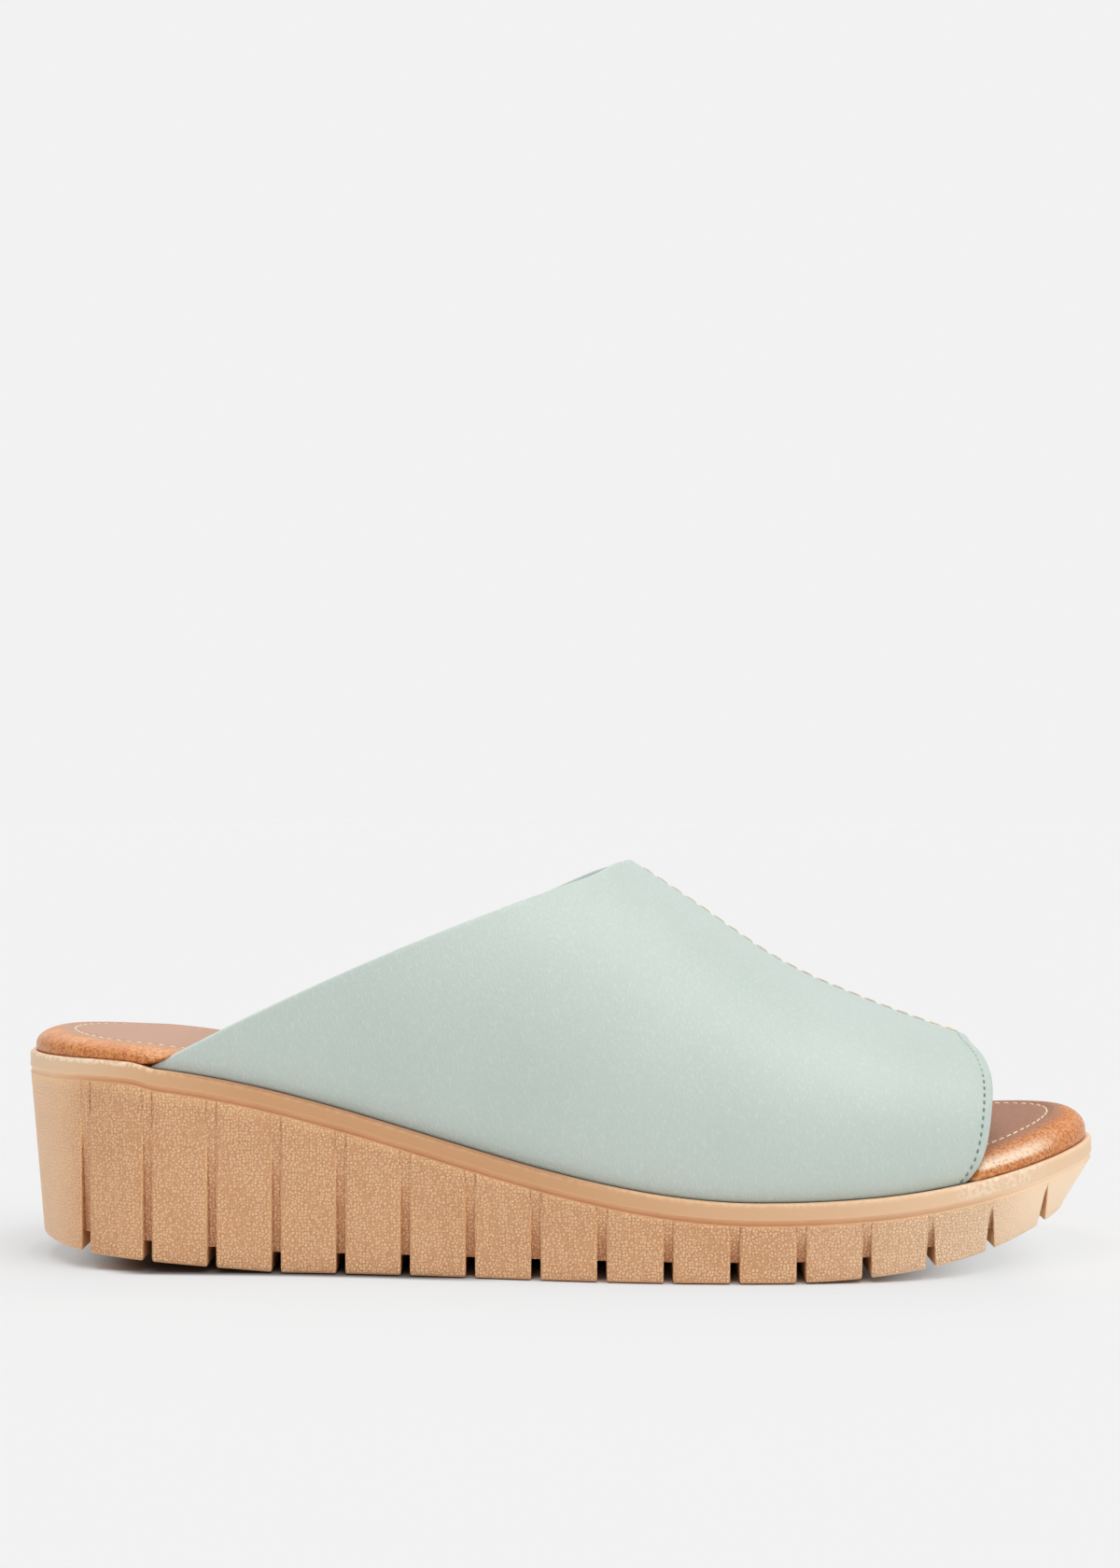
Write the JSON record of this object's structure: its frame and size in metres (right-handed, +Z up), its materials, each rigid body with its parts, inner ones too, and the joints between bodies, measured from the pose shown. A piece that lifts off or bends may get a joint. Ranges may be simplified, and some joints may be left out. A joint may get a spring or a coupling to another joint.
{
  "type": "platform sandal",
  "caption": "Slip-on platform sandal with an open back and open toe, a closed leather upper, a padded footbed and a moulded wedge sole with ribbed sides.",
  "frame": {"origin": "on the floor, under the centre of the bounding box", "axes": "+X from heel to toe, +Y towards the big-toe (inner) side of the right foot, +Z up from the floor"},
  "size_m": [0.2596, 0.0982, 0.0955],
  "materials": {
    "sole_rubber": "matte, finely pebbled",
    "footbed_leather": "satin, fine grain",
    "upper_leather": "soft satin, fine grain"
  },
  "bodies": {
    "root": {"sole": "sole_rubber", "footbed": "footbed_leather", "upper": "upper_leather"}
  },
  "joints": []
}
